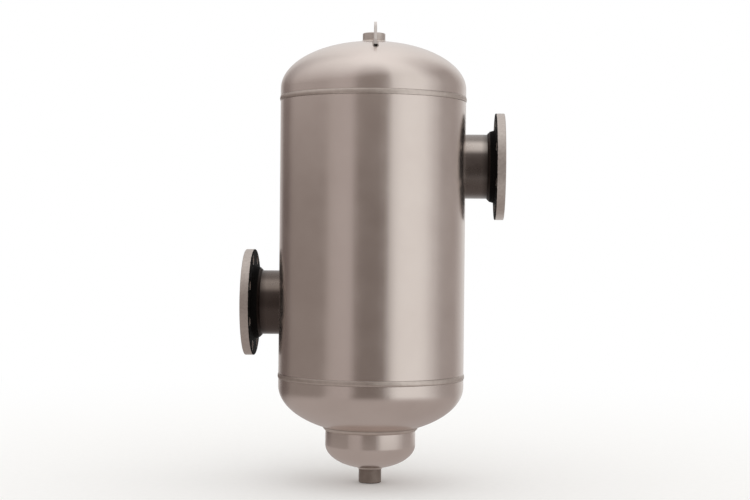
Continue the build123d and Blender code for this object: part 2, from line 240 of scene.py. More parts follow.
world = bpy.data.worlds.new("white_sweep")
bpy.context.scene.world = world
world.use_nodes = True
tree = world.node_tree
tree.nodes.clear()
sky = add(tree, "ShaderNodeBackground", {"Color": (1, 1, 1, 1), "Strength": 1.0})
add(tree, "ShaderNodeOutputWorld", {"Surface": sky.outputs[0]})
bpy.context.scene.view_settings.view_transform = "Standard"


# %% [markdown]
# Every metal here is steel, but each surface was made another way: satin-ground plate, pickled pipe,
# black forged flanges with machined edges, turned couplings, cut plate, wire-brushed welds. They all
# start from the same recipe, a metallic surface in Object coordinates, and differ in tone, roughness and
# marks.

# %% Start of a metal
def metal(name, tone, roughness):
    """A metallic material; returns it with its tree, shader and object position."""
    material = bpy.data.materials.new(name)
    material.use_nodes = True
    tree = material.node_tree
    tree.nodes.clear()
    shader = add(tree, "ShaderNodeBsdfPrincipled",
                 {"Base Color": colour(tone), "Metallic": 1.0, "Roughness": roughness})
    add(tree, "ShaderNodeOutputMaterial", {"Surface": shader.outputs[0]})
    return material, tree, shader, add(tree, "ShaderNodeTexCoord").outputs["Object"]


def around_axis(tree, place):
    """Position unrolled about the upright axis: distance round from the front, height, radius."""
    parts = add(tree, "ShaderNodeSeparateXYZ", {0: place})
    front = add(tree, "ShaderNodeMath", {0: parts.outputs["Y"], 1: -1.0}, operation="MULTIPLY")
    turn = add(tree, "ShaderNodeMath", {0: parts.outputs["X"], 1: front.outputs[0]}, operation="ARCTAN2")
    arc = add(tree, "ShaderNodeMath", {0: turn.outputs[0], 1: SHELL_R}, operation="MULTIPLY")
    flat = add(tree, "ShaderNodeCombineXYZ", {"X": parts.outputs["X"], "Y": parts.outputs["Y"]})
    radius = add(tree, "ShaderNodeVectorMath", {0: flat.outputs[0]}, operation="LENGTH")
    return add(tree, "ShaderNodeCombineXYZ", {"X": arc.outputs[0], "Y": parts.outputs["Z"],
                                              "Z": radius.outputs["Value"]}).outputs[0]


# %% [markdown]
# The vessel plate is stainless sheet, rolled and then ground to a satin finish with a belt that runs round
# the vessel. The belt leaves hair-fine scratches a few hundredths of a millimetre apart, drawn here near
# a millimetre apart so that they show. Rolling leaves faint upright flats, which break a reflection into
# soft upright streaks, and the handled surface is a little cloudy.

# %% Satin ground plate
def satin_ground_plate():
    material, tree, shader, place = metal("satin_ground_stainless_plate", "#E2D6CF", 0.2)
    unrolled = around_axis(tree, place)
    belt = add(tree, "ShaderNodeMapping", {"Vector": unrolled, "Scale": (6.0, 900.0, 900.0)})
    scratches = add(tree, "ShaderNodeTexNoise", {"Vector": belt.outputs[0], "Scale": 1.0, "Detail": 3.0})
    rolling = add(tree, "ShaderNodeMapping", {"Vector": unrolled, "Scale": (22.0, 0.8, 0.8)})
    flats = add(tree, "ShaderNodeTexNoise", {"Vector": rolling.outputs[0], "Scale": 1.0, "Detail": 2.0})
    cloud = add(tree, "ShaderNodeTexNoise", {"Vector": place, "Scale": 9.0, "Detail": 5.0, "Roughness": 0.6})
    tone = add(tree, "ShaderNodeMix", {0: cloud.outputs["Fac"], 6: colour("#DACDC6"), 7: colour("#EADFD8")},
               data_type="RGBA")
    tree.links.new(tone.outputs[2], shader.inputs["Base Color"])
    gloss = add(tree, "ShaderNodeMapRange", {"Value": cloud.outputs["Fac"], "From Min": 0.3, "From Max": 0.7,
                                             "To Min": 0.2, "To Max": 0.27})
    tree.links.new(gloss.outputs[0], shader.inputs["Roughness"])
    fine = add(tree, "ShaderNodeBump", {"Height": scratches.outputs["Fac"], "Strength": 0.12, "Distance": 0.0002})
    broad = add(tree, "ShaderNodeBump", {"Height": flats.outputs["Fac"], "Strength": 0.25, "Distance": 0.0016,
                                         "Normal": fine.outputs[0]})
    tree.links.new(broad.outputs[0], shader.inputs["Normal"])
    return material


plate_metal = satin_ground_plate()
print("material:", plate_metal.name)

# %% [markdown]
# The nozzles are pipe, pickled after welding. Pickling leaves a dull, blotchy grey that scatters light
# more than the ground plate does. Painted shade darkens the outside of each pipe from a little above its axis
# downwards and on its crown, which leaves a lighter band between the two. The inlet pipe gets darker tones,
# painted shade for its side, and both pipes darken outside towards the flange, where the hub weld heated
# them. Inside, the pipes get neither the painted shade nor the heat tint.

# %% Pickled pipe
def pickled_pipe():
    material, tree, shader, place = metal("pickled_stainless_pipe", "#A89D96", 0.3)
    parts = add(tree, "ShaderNodeSeparateXYZ", {0: place})
    blotch = add(tree, "ShaderNodeTexNoise", {"Vector": place, "Scale": 28.0, "Detail": 6.0, "Roughness": 0.62})
    clean = add(tree, "ShaderNodeMix", {0: blotch.outputs["Fac"], 6: colour("#B5AAA2"), 7: colour("#D5CBC4")},
                data_type="RGBA")
    # The inlet pipe's darker tones are painted shade for its side of the vessel.
    scaled = add(tree, "ShaderNodeMix", {0: blotch.outputs["Fac"], 6: colour("#766B65"), 7: colour("#9B8F86")},
                 data_type="RGBA")
    outlet_side = add(tree, "ShaderNodeMath", {0: parts.outputs["X"], 1: 0.0}, operation="GREATER_THAN")
    level = add(tree, "ShaderNodeMapRange", {"Value": outlet_side.outputs[0], "To Min": NOZZLE_Z["inlet"],
                                             "To Max": NOZZLE_Z["outlet"]})
    down = add(tree, "ShaderNodeMath", {0: level.outputs[0], 1: parts.outputs["Z"]}, operation="SUBTRACT")
    # Painted shade: darker below a line a little above each pipe's axis and on its crown, with a lighter band between.
    below = add(tree, "ShaderNodeMapRange", {"Value": down.outputs[0], "From Min": -42 * MM, "From Max": -26 * MM,
                                             "To Max": 0.82}, interpolation_type="SMOOTHSTEP")
    crown = add(tree, "ShaderNodeMapRange", {"Value": down.outputs[0], "From Min": -68 * MM, "From Max": -54 * MM,
                                             "To Min": 0.62, "To Max": 0.0}, interpolation_type="SMOOTHSTEP")
    stain = add(tree, "ShaderNodeMath", {0: below.outputs[0], 1: crown.outputs[0]}, operation="MAXIMUM")
    skin = add(tree, "ShaderNodeMix", {0: outlet_side.outputs[0], 6: scaled.outputs[2], 7: clean.outputs[2]},
               data_type="RGBA")
    across = add(tree, "ShaderNodeMath", {0: parts.outputs["Y"], 1: NOZZLE_Y}, operation="SUBTRACT")
    spoke = add(tree, "ShaderNodeCombineXYZ", {"X": across.outputs[0], "Y": down.outputs[0]})
    radius = add(tree, "ShaderNodeVectorMath", {0: spoke.outputs[0]}, operation="LENGTH")
    outside = add(tree, "ShaderNodeMath", {0: radius.outputs["Value"], 1: PIPE_R - 3 * MM}, operation="GREATER_THAN")
    stained = add(tree, "ShaderNodeMath", {0: stain.outputs[0], 1: outside.outputs[0]}, operation="MULTIPLY")
    # The dark tone mixed in here is the painted shade.
    worn = add(tree, "ShaderNodeMix", {0: stained.outputs[0], 6: skin.outputs[2], 7: colour("#4A413E")},
               data_type="RGBA")
    along = add(tree, "ShaderNodeMath", {0: parts.outputs["X"]}, operation="ABSOLUTE")
    ragged = add(tree, "ShaderNodeMath", {0: blotch.outputs["Fac"], 1: 12 * MM, 2: along.outputs[0]},
                 operation="MULTIPLY_ADD")
    heat = add(tree, "ShaderNodeMapRange", {"Value": ragged.outputs[0], "From Min": FACE_X - 56 * MM,
                                            "From Max": FACE_X - 36 * MM, "To Max": 0.85})
    tinted = add(tree, "ShaderNodeMath", {0: heat.outputs[0], 1: outside.outputs[0]}, operation="MULTIPLY")
    tone = add(tree, "ShaderNodeMix", {0: tinted.outputs[0], 6: worn.outputs[2], 7: colour("#2B2523")},
               data_type="RGBA")
    tree.links.new(tone.outputs[2], shader.inputs["Base Color"])
    gloss = add(tree, "ShaderNodeMapRange", {"Value": blotch.outputs["Fac"], "From Min": 0.3, "From Max": 0.7,
                                             "To Min": 0.24, "To Max": 0.33})
    tree.links.new(gloss.outputs[0], shader.inputs["Roughness"])
    grain = add(tree, "ShaderNodeTexNoise", {"Vector": place, "Scale": 700.0, "Detail": 3.0})
    bump = add(tree, "ShaderNodeBump", {"Height": grain.outputs["Fac"], "Strength": 0.15, "Distance": 0.0003})
    tree.links.new(bump.outputs[0], shader.inputs["Normal"])
    return material


pipe_metal = pickled_pipe()
print("material:", pipe_metal.name)

# %% [markdown]
# A flange is forged, so its back and hub keep a near-black coat, which laps a little over the rim. The
# lathe faces its front and turns its rim, and the drill opens the bolt holes, all down to bright steel.
# The raised face gets fine rings that grip the gasket, 0.8 mm apart. One mask tells the machined places
# from the dark ones, from the distance along and out from the nozzle's axis and from each bolt hole.

# %% Forged and machined flange
def forged_flange():
    material, tree, shader, place = metal("forged_flange_machined_edges", "#B9AFA9", 0.4)
    shader.inputs["Specular IOR Level"].default_value = 0.1
    parts = add(tree, "ShaderNodeSeparateXYZ", {0: place})
    along = add(tree, "ShaderNodeMath", {0: parts.outputs["X"]}, operation="ABSOLUTE")
    high_side = add(tree, "ShaderNodeMath", {0: parts.outputs["X"], 1: 0.0}, operation="GREATER_THAN")
    level = add(tree, "ShaderNodeMapRange", {"Value": high_side.outputs[0], "To Min": NOZZLE_Z["inlet"],
                                             "To Max": NOZZLE_Z["outlet"]})
    up = add(tree, "ShaderNodeMath", {0: parts.outputs["Z"], 1: level.outputs[0]}, operation="SUBTRACT")
    across = add(tree, "ShaderNodeMath", {0: parts.outputs["Y"], 1: NOZZLE_Y}, operation="SUBTRACT")
    spoke = add(tree, "ShaderNodeCombineXYZ", {"X": across.outputs[0], "Y": up.outputs[0]})
    radius = add(tree, "ShaderNodeVectorMath", {0: spoke.outputs[0]}, operation="LENGTH").outputs["Value"]
    turn = add(tree, "ShaderNodeMath", {0: up.outputs[0], 1: across.outputs[0]}, operation="ARCTAN2")
    from_hole = add(tree, "ShaderNodeMath", {0: turn.outputs[0], 1: math.pi / 4}, operation="FLOORED_MODULO")
    swing = add(tree, "ShaderNodeMath", {0: from_hole.outputs[0], 1: math.pi / 8}, operation="SUBTRACT")
    sideways = add(tree, "ShaderNodeMath", {0: swing.outputs[0], 1: radius}, operation="MULTIPLY")
    outwards = add(tree, "ShaderNodeMath", {0: radius, 1: 120.65 * MM}, operation="SUBTRACT")
    off_hole = add(tree, "ShaderNodeCombineXYZ", {"X": sideways.outputs[0], "Y": outwards.outputs[0]})
    hole_distance = add(tree, "ShaderNodeVectorMath", {0: off_hole.outputs[0]}, operation="LENGTH")
    drilled = add(tree, "ShaderNodeMath", {0: hole_distance.outputs["Value"], 1: 11.7 * MM},
                  operation="LESS_THAN")
    wear = add(tree, "ShaderNodeTexNoise", {"Vector": place, "Scale": 160.0, "Detail": 4.0})
    ragged = add(tree, "ShaderNodeMath", {0: wear.outputs["Fac"], 1: 1.6 * MM, 2: along.outputs[0]},
                 operation="MULTIPLY_ADD")
    turned = add(tree, "ShaderNodeMath", {0: ragged.outputs[0], 1: FACE_X - 22.2 * MM}, operation="GREATER_THAN")
    bare = add(tree, "ShaderNodeMath", {0: turned.outputs[0], 1: drilled.outputs[0]}, operation="MAXIMUM")
    bright = add(tree, "ShaderNodeMix", {0: wear.outputs["Fac"], 6: colour("#B6ABA4"), 7: colour("#DCD3CC")},
                 data_type="RGBA")
    tone = add(tree, "ShaderNodeMix", {0: bare.outputs[0], 6: colour("#0E0C0B"), 7: bright.outputs[2]},
               data_type="RGBA")
    tree.links.new(tone.outputs[2], shader.inputs["Base Color"])
    gloss = add(tree, "ShaderNodeMapRange", {"Value": bare.outputs[0], "To Min": 0.85, "To Max": 0.42})
    tree.links.new(gloss.outputs[0], shader.inputs["Roughness"])
    tree.links.new(bare.outputs[0], shader.inputs["Metallic"])
    rings = add(tree, "ShaderNodeMath", {0: radius, 1: math.tau / (0.8 * MM)}, operation="MULTIPLY")
    groove = add(tree, "ShaderNodeMath", {0: rings.outputs[0]}, operation="SINE")
    cut = add(tree, "ShaderNodeMath", {0: groove.outputs[0], 1: turned.outputs[0]}, operation="MULTIPLY")
    ringed = add(tree, "ShaderNodeBump", {"Height": cut.outputs[0], "Strength": 0.4, "Distance": 0.0001})
    scale_skin = add(tree, "ShaderNodeBump", {"Height": wear.outputs["Fac"], "Strength": 0.3, "Distance": 0.0006,
                                              "Normal": ringed.outputs[0]})
    tree.links.new(scale_skin.outputs[0], shader.inputs["Normal"])
    return material


flange_metal = forged_flange()
print("material:", flange_metal.name)

# %% [markdown]
# The couplings are turned from bar: the tool leaves fine rings round them, 0.6 mm apart here so that they
# show. The drain's is given darker tones than the vent's. The lugs are cut from plate, and the cone
# and its legs inside keep their mill finish, a soft even grey.

# %% Turned couplings, cut plate and mill finish
def ringed_metal(name, low_tone, high_tone, roughness, ring_pitch):
    material, tree, shader, place = metal(name, high_tone, roughness)
    parts = add(tree, "ShaderNodeSeparateXYZ", {0: place})
    turns = add(tree, "ShaderNodeMath", {0: parts.outputs["Z"], 1: math.tau / ring_pitch}, operation="MULTIPLY")
    ring = add(tree, "ShaderNodeMath", {0: turns.outputs[0]}, operation="SINE")
    cloud = add(tree, "ShaderNodeTexNoise", {"Vector": place, "Scale": 60.0, "Detail": 4.0})
    tone = add(tree, "ShaderNodeMix", {0: cloud.outputs["Fac"], 6: colour(low_tone), 7: colour(high_tone)},
               data_type="RGBA")
    tree.links.new(tone.outputs[2], shader.inputs["Base Color"])
    bump = add(tree, "ShaderNodeBump", {"Height": ring.outputs[0], "Strength": 0.25, "Distance": 0.0001})
    tree.links.new(bump.outputs[0], shader.inputs["Normal"])
    return material


def cloudy_metal(name, low_tone, high_tone, roughness, grain_scale):
    material, tree, shader, place = metal(name, high_tone, roughness)
    cloud = add(tree, "ShaderNodeTexNoise", {"Vector": place, "Scale": 35.0, "Detail": 5.0})
    tone = add(tree, "ShaderNodeMix", {0: cloud.outputs["Fac"], 6: colour(low_tone), 7: colour(high_tone)},
               data_type="RGBA")
    tree.links.new(tone.outputs[2], shader.inputs["Base Color"])
    grain = add(tree, "ShaderNodeTexNoise", {"Vector": place, "Scale": grain_scale, "Detail": 3.0})
    bump = add(tree, "ShaderNodeBump", {"Height": grain.outputs["Fac"], "Strength": 0.2, "Distance": 0.0002})
    tree.links.new(bump.outputs[0], shader.inputs["Normal"])
    return material


vent_metal = ringed_metal("turned_stainless_bar", "#C6BBB4", "#E4DBD4", 0.42, 0.6 * MM)
drain_metal = ringed_metal("water_stained_turned_bar", "#83776F", "#A3978F", 0.36, 0.6 * MM)
lug_metal = cloudy_metal("cut_stainless_plate", "#E6DFDA", "#F5F0EC", 0.6, 500.0)
inner_metal = cloudy_metal("mill_finish_stainless", "#ABA39D", "#C2BAB4", 0.38, 300.0)
print("materials:", vent_metal.name, drain_metal.name, lug_metal.name, inner_metal.name)

# %% [markdown]
# A weld bead is cast metal that froze in ripples. Brushed with a wire wheel it is bright on top and keeps a
# thin dark line of scale in its toes, where the wheel doesn't reach. The beads on the flange hubs weren't
# brushed and stay black with heat scale. Each lug's bead gets one black spot of painted shadow at its outer
# end, at the lug's foot. The line follows the attribute "across", which each bead carries from its section: 0
# along the crown and 1 at either toe.

# %% Weld beads, brushed and black
def weld_bead(name, low_tone, high_tone, toe_tone, roughness):
    material, tree, shader, place = metal(name, high_tone, roughness)
    cloud = add(tree, "ShaderNodeTexNoise", {"Vector": place, "Scale": 90.0, "Detail": 4.0})
    top = add(tree, "ShaderNodeMix", {0: cloud.outputs["Fac"], 6: colour(low_tone), 7: colour(high_tone)},
              data_type="RGBA")
    across = add(tree, "ShaderNodeAttribute", attribute_name="across")
    toe = add(tree, "ShaderNodeMapRange", {"Value": across.outputs["Fac"], "From Min": 0.78, "From Max": 1.0,
                                           "To Max": 0.55})
    tone = add(tree, "ShaderNodeMix", {0: toe.outputs[0], 6: top.outputs[2], 7: colour(toe_tone)},
               data_type="RGBA")
    tree.links.new(tone.outputs[2], shader.inputs["Base Color"])
    grain = add(tree, "ShaderNodeTexNoise", {"Vector": place, "Scale": 900.0, "Detail": 2.0})
    bump = add(tree, "ShaderNodeBump", {"Height": grain.outputs["Fac"], "Strength": 0.2, "Distance": 0.0001})
    tree.links.new(bump.outputs[0], shader.inputs["Normal"])
    return material


def burnt_where_it_ends(material, turn, reach, half_spot):
    """Paint shadow onto a bead: black round two points, one on either side of the axis at one reach from it."""
    tree = material.node_tree
    shader = next(node for node in tree.nodes if node.type == "BSDF_PRINCIPLED")
    tone = shader.inputs["Base Color"].links[0].from_socket
    place = add(tree, "ShaderNodeTexCoord").outputs["Object"]
    spun = add(tree, "ShaderNodeVectorRotate", {"Vector": place, "Angle": -turn}, rotation_type="Z_AXIS")
    parts = add(tree, "ShaderNodeSeparateXYZ", {0: spun.outputs[0]})
    out = add(tree, "ShaderNodeMath", {0: parts.outputs["X"]}, operation="ABSOLUTE")
    past = add(tree, "ShaderNodeMath", {0: out.outputs[0], 1: reach}, operation="SUBTRACT")
    off = add(tree, "ShaderNodeCombineXYZ", {"X": past.outputs[0], "Y": parts.outputs["Y"]})
    distance = add(tree, "ShaderNodeVectorMath", {0: off.outputs[0]}, operation="LENGTH")
    clear = add(tree, "ShaderNodeMapRange", {"Value": distance.outputs["Value"], "From Min": half_spot,
                                             "From Max": 2.2 * half_spot})
    # Painted shadow: the bead turns black round each point.
    spot = add(tree, "ShaderNodeMix", {0: clear.outputs[0], 6: colour("#1C1715"), 7: tone}, data_type="RGBA")
    tree.links.new(spot.outputs[2], shader.inputs["Base Color"])
    return material


brushed_weld = weld_bead("wire_brushed_weld_bead", "#C9BDB5", "#E4D9D1", "#82766C", 0.3)
black_weld = weld_bead("heat_blackened_weld_bead", "#2E2826", "#4C433F", "#171413", 0.55)
lug_weld = burnt_where_it_ends(weld_bead("lug_weld_burnt_at_its_end", "#B4A8A0", "#D1C6BE", "#75695F", 0.4),
                               math.radians(-86), 152 * MM, 3.6 * MM)
print("materials:", brushed_weld.name, black_weld.name, lug_weld.name)

# %% [markdown]
# A weld bead could be a plain tube, but a real one is a row of overlapping crescents, each a drop of metal
# that froze while the torch moved on. One Geometry Nodes tree lays them along any joint. It takes the joint
# as a line of points with the attribute "facing", which points out of the joint, and a section drawn out of
# and across the joint. Curve to Mesh sweeps the section in rings, four to a ripple. Between ripples the
# crown is lowered, never raised, so the bead stays inside its CAD solid, and every ring is bent back at its
# toes, which makes the crescent. Each ripple gets its own height from a fixed seed.

# %% Tree for rippled beads
def ripple_tree():
    tree = bpy.data.node_groups.new("weld_ripples", "GeometryNodeTree")
    sockets = [("Joint", "Geometry"), ("Section", "Object"), ("Ripple length", "Float"), ("Ripple depth", "Float"),
               ("Crescent", "Float"), ("Rings per ripple", "Int"), ("Seed", "Int"), ("Metal", "Material")]
    for name, kind in sockets:
        tree.interface.new_socket(name, in_out="INPUT", socket_type="NodeSocket" + kind)
    tree.interface.new_socket("Bead", in_out="OUTPUT", socket_type="NodeSocketGeometry")
    given = add(tree, "NodeGroupInput").outputs

    line = add(tree, "GeometryNodeMeshToCurve", {"Mesh": given["Joint"]})
    length = add(tree, "GeometryNodeCurveLength", {"Curve": line.outputs[0]})
    fit = add(tree, "ShaderNodeMath", {0: length.outputs[0], 1: given["Ripple length"]}, operation="DIVIDE")
    ripples = add(tree, "ShaderNodeMath", {0: fit.outputs[0]}, operation="ROUND")
    rings = add(tree, "ShaderNodeMath", {0: ripples.outputs[0], 1: given["Rings per ripple"]}, operation="MULTIPLY")
    laid = add(tree, "GeometryNodeResampleCurve", {"Curve": line.outputs[0], "Count": rings.outputs[0]})
    facing = add(tree, "GeometryNodeInputNamedAttribute", {"Name": "facing"}, data_type="FLOAT_VECTOR")
    aimed = add(tree, "GeometryNodeSetCurveNormal", {"Curve": laid.outputs[0], "Normal": facing.outputs[0]},
                mode="FREE")

    ring = add(tree, "GeometryNodeInputIndex")
    share = add(tree, "ShaderNodeMath", {0: ring.outputs[0], 1: given["Rings per ripple"]}, operation="DIVIDE")
    number = add(tree, "ShaderNodeMath", {0: share.outputs[0]}, operation="FLOOR")
    phase = add(tree, "ShaderNodeMath", {0: share.outputs[0]}, operation="FRACT")
    half_turn = add(tree, "ShaderNodeMath", {0: phase.outputs[0], 1: math.pi}, operation="MULTIPLY")
    hump = add(tree, "ShaderNodeMath", {0: half_turn.outputs[0]}, operation="SINE")
    full = add(tree, "ShaderNodeMath", {0: hump.outputs[0], 1: 0.6}, operation="POWER")
    size = add(tree, "FunctionNodeRandomValue", {2: 0.62, 3: 1.0, "ID": number.outputs[0], "Seed": given["Seed"]},
               data_type="FLOAT")
    peak = add(tree, "ShaderNodeMath", {0: full.outputs[0], 1: size.outputs[1]}, operation="MULTIPLY")
    dip = add(tree, "ShaderNodeMath", {0: 1.0, 1: peak.outputs[0]}, operation="SUBTRACT")
    lowering = add(tree, "ShaderNodeMath", {0: dip.outputs[0], 1: given["Ripple depth"]}, operation="MULTIPLY")
    kept_low = add(tree, "GeometryNodeStoreNamedAttribute",
                   {"Geometry": aimed.outputs[0], "Name": "lowering", "Value": lowering.outputs[0]}, data_type="FLOAT")
    ahead = add(tree, "GeometryNodeInputTangent")
    kept = add(tree, "GeometryNodeStoreNamedAttribute",
               {"Geometry": kept_low.outputs[0], "Name": "ahead", "Value": ahead.outputs[0]}, data_type="FLOAT_VECTOR")

    drawn = add(tree, "GeometryNodeObjectInfo", {"Object": given["Section"]})
    outline = add(tree, "GeometryNodeMeshToCurve", {"Mesh": drawn.outputs["Geometry"]})
    bead = add(tree, "GeometryNodeCurveToMesh", {"Curve": kept.outputs[0], "Profile Curve": outline.outputs[0],
                                                 "Fill Caps": True})
    crown = add(tree, "GeometryNodeInputNamedAttribute", {"Name": "crown"}, data_type="FLOAT")
    across = add(tree, "GeometryNodeInputNamedAttribute", {"Name": "across"}, data_type="FLOAT")
    low = add(tree, "GeometryNodeInputNamedAttribute", {"Name": "lowering"}, data_type="FLOAT")
    way = add(tree, "GeometryNodeInputNamedAttribute", {"Name": "ahead"}, data_type="FLOAT_VECTOR")
    drop = add(tree, "ShaderNodeMath", {0: crown.outputs[0], 1: low.outputs[0]}, operation="MULTIPLY")
    sunk = add(tree, "ShaderNodeVectorMath", {0: facing.outputs[0], "Scale": drop.outputs[0]}, operation="SCALE")
    square = add(tree, "ShaderNodeMath", {0: across.outputs[0], 1: 2.0}, operation="POWER")
    bend = add(tree, "ShaderNodeMath", {0: square.outputs[0], 1: given["Crescent"]}, operation="MULTIPLY")
    back = add(tree, "ShaderNodeVectorMath", {0: way.outputs[0], "Scale": bend.outputs[0]}, operation="SCALE")
    both = add(tree, "ShaderNodeVectorMath", {0: sunk.outputs[0], 1: back.outputs[0]}, operation="ADD")
    inwards = add(tree, "ShaderNodeVectorMath", {0: both.outputs[0], "Scale": -1.0}, operation="SCALE")
    rippled = add(tree, "GeometryNodeSetPosition", {"Geometry": bead.outputs[0], "Offset": inwards.outputs[0]})
    smooth = add(tree, "GeometryNodeSetShadeSmooth", {"Geometry": rippled.outputs[0]})
    real = add(tree, "GeometryNodeRealizeInstances", {"Geometry": smooth.outputs[0]})
    finished = add(tree, "GeometryNodeSetMaterial", {"Geometry": real.outputs[0], "Material": given["Metal"]})
    add(tree, "NodeGroupOutput", {"Bead": finished.outputs[0]})
    return tree


ripples = ripple_tree()
print("tree:", ripples.name, len(ripples.nodes), "nodes")


# %% [markdown]
# A tree runs as a modifier on a starting mesh. Its inputs are set by the socket's identifier before the
# object is first evaluated, and the evaluated result is copied into a plain mesh, so nothing live is left.

# %% Run a tree
def grow(tree, name, start_mesh, values):
    """Run a Geometry Nodes tree on a mesh and keep the result as a plain object at the origin."""
    start = bpy.data.objects.new(name + "_start", start_mesh)
    bpy.context.scene.collection.objects.link(start)
    modifier = start.modifiers.new("grow", "NODES")
    modifier.node_group = tree
    for socket in tree.interface.items_tree:
        if socket.in_out == "INPUT" and socket.name in values:
            modifier[socket.identifier] = values[socket.name]
    evaluated = start.evaluated_get(bpy.context.evaluated_depsgraph_get())
    mesh = bpy.data.meshes.new_from_object(evaluated)
    start.modifiers.remove(modifier)
    bpy.data.objects.remove(start)
    mesh.name = name
    piece = bpy.data.objects.new(name, mesh)
    bpy.context.scene.collection.objects.link(piece)
    return piece


def loop_mesh(name, points, closed=True):
    mesh = bpy.data.meshes.new(name)
    edges = [(i, i + 1) for i in range(len(points) - 1)] + ([(len(points) - 1, 0)] if closed else [])
    mesh.from_pydata([tuple(point) for point in points], edges, [])
    return mesh


# %% [markdown]
# The sections come from how the welds are drawn. A groove weld fills a V with a low crown outside and a
# smaller bead at its root inside. A fillet in a square corner has legs of one length and a slightly full
# face. A fillet between curved plates is part of a round bead whose middle lies one leg behind the corner,
# and its hidden sides run inside the plates. Each corner of a section carries "crown", how far ripples
# may lower it, and "across", its place between the toes.

# %% Sections of the beads
def arc(half, height, count, sink=0.0):
    """Points from one toe to the other of a flat arc, as out of the joint and across it."""
    radius = (half**2 + height**2) / (2 * height)
    reach = math.asin(half / radius) + sink / radius
    angles = [reach * (2 * i / (count - 1) - 1) for i in range(count)]
    return [(radius * math.cos(angle) - radius + height, radius * math.sin(angle)) for angle in angles]


def section(name, face, hidden, half, root=()):
    """Closed outline: the face counter-clockwise, then the hidden side and, if any, a root bead."""
    shape = [(out, side, 1 - min(1, abs(side / half)) ** 2, abs(side / half)) for out, side in face]
    shape += [(out, side, 0.0, 1.0) for out, side in hidden]
    shape += [(out, side, -0.5 * (1 - min(1, abs(side / (2.6 * MM))) ** 2), 0.3) for out, side in root]
    shape += [(out, -side, 0.0, 1.0) for out, side in reversed(hidden)] if root else []
    mesh = loop_mesh(name, [(out, side, 0) for out, side, crown, across in shape])
    for key, column in (("crown", 2), ("across", 3)):
        mesh.attributes.new(key, "FLOAT", "POINT").data.foreach_set("value", [row[column] for row in shape])
    drawn = bpy.data.objects.new(name, mesh)
    bpy.context.scene.collection.objects.link(drawn)
    return drawn


def groove_section():
    groove_half = 1.2 * MM + 4.75 * MM * math.tan(math.radians(37.5))
    crown_half = groove_half + 2 * MM
    face = arc(crown_half, 1.8 * MM, 11, 0.25 * MM)
    hidden = [(-0.6 * MM, groove_half - 0.4 * MM), (-4.75 * MM, 1.2 * MM), (-PLATE, 1.2 * MM), (-PLATE, 2.6 * MM)]
    root = [(-PLATE - 0.8 * MM * math.cos(t), 2.6 * MM * math.sin(t)) for t in (0.9, 0.45, 0, -0.45, -0.9)]
    return section("groove_section", face, hidden, crown_half, root), crown_half


def corner_section(leg, throat, start=0.0):
    """Fillet in a square corner; the line it follows lies at a distance out of the corner."""
    toe = leg / math.sqrt(2)
    face = [(out + toe - start, side) for out, side in arc(toe, throat - toe, 9, 0.35 * MM)]
    return section("corner_section", face, [(-0.9 * MM - start, 0.0)], toe)


def sunk_section(leg, half_angle, visible_angle=24):
    """Fillet as part of a round bead; the line it follows is the bead's middle, behind the corner."""
    radius = leg * math.sqrt(2 + math.sqrt(2))
    angles = [math.radians(half_angle) * (i / 5 - 1) for i in range(11)]
    face = [(radius * math.cos(angle), radius * math.sin(angle)) for angle in angles]
    return section("sunk_section", face, [(0.0, 0.0)], radius * math.sin(math.radians(visible_angle)))


# %% [markdown]
# The joints are rings round the vessel or round a nozzle, the straight seam up the back, the saddle lines
# where a round pipe meets the round shell, and the outlines of the lugs' feet on the dome. Every joint is
# worked out from the same sizes as the plates it joins, so the beads lie where the plates meet.

# %% Lines of the joints
def joint(name, points, facings, closed=True):
    mesh = loop_mesh(name, points, closed)
    flat = [value for facing in facings for value in facing]
    mesh.attributes.new("facing", "FLOAT_VECTOR", "POINT").data.foreach_set("vector", flat)
    return mesh


def ring_joint(radius, height, out, up, place=Matrix()):
    """Ring about Z, or about the Z of a place; its facing is given out from the axis and up along it."""
    turns = [math.tau * i / 360 for i in range(360)]
    points = [place @ Vector((radius * math.cos(t), radius * math.sin(t), height)) for t in turns]
    facings = [place.to_3x3() @ Vector((out * math.cos(t), out * math.sin(t), up)) for t in turns]
    return joint("ring", points, facings)


def sunk_ring(radius, height, normals, leg):
    """Ring along the middle of a round bead, one leg behind the corner of two surfaces."""
    middle = sum(normals, Vector((0, 0))).normalized()
    return ring_joint(radius - middle.x * leg, height - middle.y * leg, middle.x, middle.y)


def dome_normal(radius, half_width, rise):
    """Outward normal of a dome, out from the axis and up."""
    height = rise * math.sqrt(1 - (radius / half_width) ** 2)
    return Vector((radius / half_width**2, height / rise**2)).normalized()


def saddle_joint(side, height, leg):
    """Middle of the bead round a pipe, where its outside meets the shell's outside."""
    points, facings = [], []
    for i in range(360):
        turn = math.tau * i / 360
        y = NOZZLE_Y + PIPE_R * math.cos(turn)
        corner = Vector((side * math.sqrt(SHELL_R**2 - y**2), y, height + PIPE_R * math.sin(turn)))
        out = (Vector((0, math.cos(turn), math.sin(turn))) + Vector((corner.x, y, 0)).normalized()).normalized()
        points.append(corner - out * leg)
        facings.append(out)
    return joint("saddle", points, facings)


def flange_place(side, height):
    """Frame of a flange: origin on the raised face, its Z pointing out of the nozzle."""
    return Matrix(((0, 0, side, side * FACE_X), (side, 0, 0, NOZZLE_Y), (0, 1, 0, height), (0, 0, 0, 1)))


